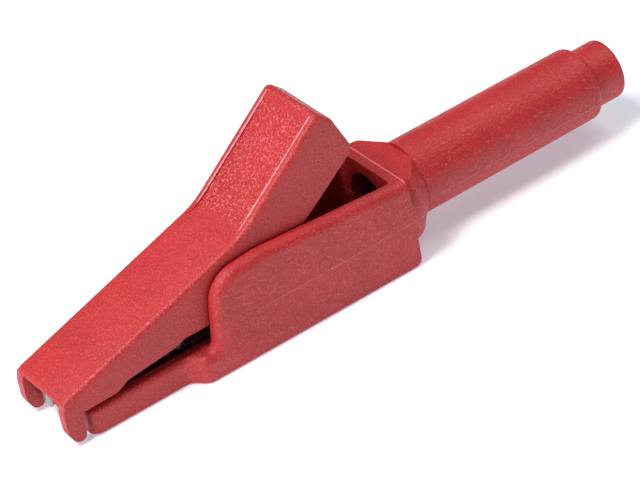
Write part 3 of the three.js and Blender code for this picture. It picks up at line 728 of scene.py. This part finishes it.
def hollowed(shell):
    """Opens the lever from below, leaving its top wall, its end wall and the two flanges."""
    heel = LEVER_HEEL[0] - END_WALL
    inside = rounded([
        (-1, TIP_HEIGHT - 0.6), (0, TIP_HEIGHT - 0.45), under_jaw(2.65, TOP_WALL), under_kink(TOP_WALL),
        under_pad(LEVER_END[0] - 0.4, TOP_WALL), (LEVER_BACK[0] - END_WALL, LEVER_BACK[1] - 0.5),
        (heel, LEVER_HEEL[1] + 1), (heel, 0), (-1, 0)])
    return joined(shell, side_plate("hollow", inside, -FLANGE_INNER, FLANGE_INNER), "DIFFERENCE")


def with_lobes(shell):
    """The two round lobes that close over the lower jaw's front."""
    outline = rounded([
        (0.12, TIP_HEIGHT - 0.35), (-0.2, TIP_HEIGHT - 1.7, 1.2), (-0.2, 1.95, 2), (0.5, 0.35, 1.1),
        (1.95, 0.35, 0.9), (2.05, FLANGE_END), (2.05, TIP_HEIGHT - 0.4)], 10)

    def below_the_tip(a, b, bend):
        return bend > 40 and max(a.z, b.z) < TIP_HEIGHT - 0.5
    for hand in (-1, 1):
        inner, outer = sorted((hand * LOBE_INNER, hand * (JAW_HALF - 0.015)))
        joined(shell, eased(side_plate("lobe", outline, inner, outer), LOBE_ROUND, below_the_tip), "UNION")
    return shell


def with_pad(shell, side):
    """Sinks the thumb pad between two rounded edges, from the middle of the kink's round to the end."""
    bend = [p for p in side
            if p[1] > KINK_HEIGHT - 1.6 and KINK_X - 2.6 < p[0] < LEVER_END[0] - 0.5]
    along = Vector((math.cos(LEVER_SLOPE), math.sin(LEVER_SLOPE)))
    up = Vector((-along.y, along.x))
    first, *others = bend
    last = Vector(under_pad(LEVER_END[0] - 1.15, 0))
    floor_line = [first + Vector((-math.sin(JAW_SLOPE), math.cos(JAW_SLOPE))) * CUT]
    for p in [*others, last]:
        share = min(1.0, (p - first).length / PAD_RUN)
        floor_line.append(p - up * PAD_DEPTH * share * share * (3 - 2 * share))
    floor_line[-1] -= along * 0.1
    cutter = [*floor_line, last + up * 2, first + up * 2]
    joined(shell, side_plate("pad", cutter, -PAD_HALF, PAD_HALF), "DIFFERENCE")
    cleaned(shell, 0.3)

    def rails(a, b, bend):
        return bend > 40 and all(abs(abs(v.y) - PAD_HALF) < 0.01 and v.x > KINK_X + 0.8
                                 and v.z > under_pad(v.x, 0.08)[1] for v in (a, b))
    return eased(shell, RAIL, rails, 3)


def upper_lever():
    shell, side = lever_block()
    with_pad(with_lobes(hollowed(shell)), side)
    finished(shell, red_with_rail_highlights, "lever", "upper_lever", slot="red_plastic")
    shell.data.materials.append(red_pad)
    shell.data.materials.append(red_painted_highlight)
    for face in shell.data.polygons:
        centre = place(face.center / MM)
        sunk = under_pad(centre.x, 0)[1] - centre.z
        if centre.x > KINK_X + 0.6 and 0.01 < sunk < 2 * PAD_DEPTH:
            if abs(centre.y) < PAD_HALF - 0.01:
                face.material_index = 1
            # the faces of the pad's rounded edges get the painted highlight material
            elif abs(centre.y) < PAD_HALF + RAIL + CUT:
                face.material_index = 2
    return shell


# ---- Metal pieces -------------------------------------------------------------------------------------


def softened(node, name, material):
    """A copy of a CAD node with its stamped or turned edges broken."""
    bpy.ops.object.select_all(action="DESELECT")
    cad = frame["nodes"][node]
    piece = bpy.data.objects.new(name, cad.data.copy())
    bpy.context.scene.collection.objects.link(piece)
    piece.data.name = name
    alone(piece)
    bpy.ops.transform.resize(value=(1 / MM, 1 / MM, 1 / MM), center_override=(0, 0, 0))
    bpy.ops.object.transform_apply(location=True, rotation=True, scale=True)
    cleaned(piece, 1.0)
    alone(piece)
    bpy.ops.object.modifier_add(type="BEVEL")
    edge = piece.modifiers[-1]
    edge.width = STAMPED_EDGE
    edge.segments = 2
    edge.limit_method = "ANGLE"
    edge.angle_limit = math.radians(35)
    bpy.ops.object.modifier_apply(modifier=edge.name)
    body = cad["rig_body"]
    slot = next(s["material_slot"] for s in frame["record"]["subparts"] if s["node"] == node)
    return finished(piece, material, body, node, slot=slot, smooth=40)


def wire_ring(name, angle):
    """A ring of the spring's wire, set square to the coil where an angle about the hinge says."""
    bpy.ops.object.select_all(action="DESELECT")
    bpy.ops.mesh.primitive_circle_add(vertices=16, radius=WIRE_RADIUS, location=at(HINGE_X, 0, HINGE_Z),
                                      rotation=(0, -angle, 0))
    ring = bpy.context.object
    ring.name = ring.data.name = name
    bpy.ops.object.transform_apply(location=False, rotation=True, scale=False)
    bpy.ops.object.mode_set(mode="EDIT")
    bpy.ops.mesh.select_all(action="SELECT")
    bpy.ops.transform.translate(value=(COIL_RADIUS * math.cos(angle), 0, COIL_RADIUS * math.sin(angle)))
    bpy.ops.object.mode_set(mode="OBJECT")
    return ring


def wound(ring, from_y, sweep, travel):
    """Winds a ring of wire about the hinge through an angle while it travels across the clip."""
    bpy.ops.object.mode_set(mode="EDIT")
    bpy.ops.mesh.select_all(action="SELECT")
    bpy.ops.transform.translate(value=(0, from_y, 0))
    bpy.ops.object.mode_set(mode="OBJECT")
    alone(ring)
    bpy.ops.object.modifier_add(type="SCREW")
    winding = ring.modifiers[-1]
    winding.axis = "Y"
    winding.angle = sweep
    winding.screw_offset = travel
    winding.steps = winding.render_steps = max(4, round(math.degrees(sweep) / 9))
    bpy.ops.object.modifier_apply(modifier=winding.name)
    bpy.ops.object.transform_apply(location=True, rotation=True, scale=True)
    return ring


def with_leg(piece, end_y, slope):
    """Draws the wire's end at end_y out into a straight leg, and closes both ends."""
    way = Vector((math.cos(slope), 0, math.sin(slope))) * SPRING_LEG
    alone(piece)
    bpy.ops.object.mode_set(mode="EDIT")
    bpy.ops.mesh.select_mode(type="EDGE")
    bpy.ops.mesh.select_all(action="DESELECT")
    shape = bmesh.from_edit_mesh(piece.data)
    for edge in shape.edges:
        if edge.is_boundary and abs(sum(v.co.y for v in edge.verts) / 2 - end_y) < 1.2 * WIRE_RADIUS:
            edge.select = True
    bmesh.update_edit_mesh(piece.data)
    for share in (0.97, 0.03):
        bpy.ops.mesh.extrude_region_move(TRANSFORM_OT_translate={"value": way * share})
    bpy.ops.mesh.select_all(action="SELECT")
    bpy.ops.mesh.fill_holes(sides=0)
    bpy.ops.mesh.select_all(action="SELECT")
    bpy.ops.mesh.normals_make_consistent(inside=False)
    bpy.ops.object.mode_set(mode="OBJECT")
    return piece


def return_spring():
    """A coil with its leg on the housing, and the leg that follows the lever with part of the last turn."""
    drop = HINGE_Z - LEG_REST
    lower_slope = -math.asin((drop - COIL_RADIUS) / SPRING_LEG * 0.98)
    sweep = 2 * math.pi * COIL_TURNS - (LEVER_SLOPE - lower_slope)
    coil = wound(wire_ring("spring_coil", lower_slope - math.pi / 2), -COIL_HALF, sweep, 2 * COIL_HALF)
    with_leg(coil, -COIL_HALF, lower_slope)
    finished(coil, spring_steel, "housing", "return_spring", slot="spring_steel")
    last = math.radians(40)
    travel = 2 * COIL_HALF * last / sweep
    start = wire_ring("spring_upper_leg", LEVER_SLOPE + math.pi / 2 + last)
    upper = wound(start, COIL_HALF - travel, last, travel)
    with_leg(upper, COIL_HALF, LEVER_SLOPE)
    finished(upper, spring_steel, "lever", slot="spring_steel")


lower_housing()
rear_sleeve()
socket_bush()
upper_lever()
for node, name, material in [
    ("lower_jaw_frame", "lower_toothed_jaw", nickel),
    ("upper_jaw_frame", "upper_toothed_jaw", nickel),
    ("hinge_pin", "pivot_pin", nickel),
    ("pin_washer_near", "washer_near", nickel),
    ("pin_washer_far", "washer_far", nickel),
    ("lower_jaw_rivet_front", "lower_rivet_front", nickel),
    ("lower_jaw_rivet_rear", "lower_rivet_rear", nickel),
    ("upper_jaw_rivet_front", "upper_rivet_front", nickel),
    ("upper_jaw_rivet_rear", "upper_rivet_rear", nickel),
    ("tail_rivet", "contact_rivet", nickel),
    ("contact_spring_ring", "contact_clip_ring", spring_steel),
    ("spring_bobbin", "pivot_bobbin", brass),
    ("socket_contact", "split_contact", brass),
]:
    softened(node, name, material)
return_spring()


# ---- Studio -------------------------------------------------------------------------------------------


def paper_floor():
    bpy.ops.object.select_all(action="DESELECT")
    bpy.ops.mesh.primitive_plane_add(size=3, location=(0, 0, -0.0002))
    floor = bpy.context.object
    floor.name = "studio_floor"
    paper = Finish("studio_paper", Roughness=0.9, Specular_IOR_Level=0.1,
                   Emission_Color=(0.78, 0.88, 1.0, 1), Emission_Strength=0.38)
    mottle = paper.noise(60)
    paper.feed(Base_Color=paper.blend(mottle, (0.82, 0.82, 0.83, 1), (0.85, 0.85, 0.86, 1)))
    floor.data.materials.append(paper.material)


def room():
    """A dim, slightly cool room with a white backdrop behind the object."""
    world = bpy.data.worlds.new("studio")
    bpy.context.scene.world = world
    world.use_nodes = True
    nodes, links = world.node_tree.nodes, world.node_tree.links
    dim = nodes["Background"]
    dim.inputs["Color"].default_value = (0.9, 0.95, 1.0, 1)
    dim.inputs["Strength"].default_value = 0.09
    backdrop = nodes.new("ShaderNodeBackground")
    backdrop.inputs["Color"].default_value = (1, 1, 1, 1)
    seen = nodes.new("ShaderNodeLightPath")
    choice = nodes.new("ShaderNodeMixShader")
    links.new(seen.outputs["Is Camera Ray"], choice.inputs[0])
    links.new(dim.outputs[0], choice.inputs[1])
    links.new(backdrop.outputs[0], choice.inputs[2])
    links.new(choice.outputs[0], nodes["World Output"].inputs["Surface"])


def softbox(name, where, size, power):
    """A rectangular lamp that looks at the clip."""
    bpy.ops.object.light_add(type="AREA", location=where)
    lamp = bpy.context.object
    lamp.name = name
    lamp.data.shape = "RECTANGLE"
    lamp.data.size, lamp.data.size_y = size
    lamp.data.energy = power
    aim = Vector((0, 0, 0.01))
    lamp.rotation_euler = (aim - Vector(where)).to_track_quat("-Z", "Y").to_euler()


def camera():
    """A long lens from the front left, above."""
    lens = bpy.data.cameras.new("camera")
    lens.lens = 196.875
    lens.sensor_width = 36
    lens.clip_start = 0.01
    lens.clip_end = 20
    stand = bpy.data.objects.new("camera", lens)
    bpy.context.scene.collection.objects.link(stand)
    turn = Euler([math.radians(angle) for angle in (54.8219, 9.5710, -35.5152)])
    stand.matrix_world = Matrix.LocRotScale(at(-119.02, -284.79, 229.17) * MM, turn, None)
    bpy.context.scene.camera = stand
    bpy.context.scene.view_settings.view_transform = "Standard"


paper_floor()
room()
softbox("overhead_softbox", (-0.5, 0.0, 1.0), (0.46, 0.46), 12.5)
softbox("front_card", (-1.0, -0.05, 0.25), (0.7, 0.4), 3.6)
softbox("side_card", (0.8, 0.0, 0.9), (0.6, 0.6), 4.5)
softbox("back_card", (-0.1, 0.7, 0.45), (1.2, 0.7), 0.8)
camera()
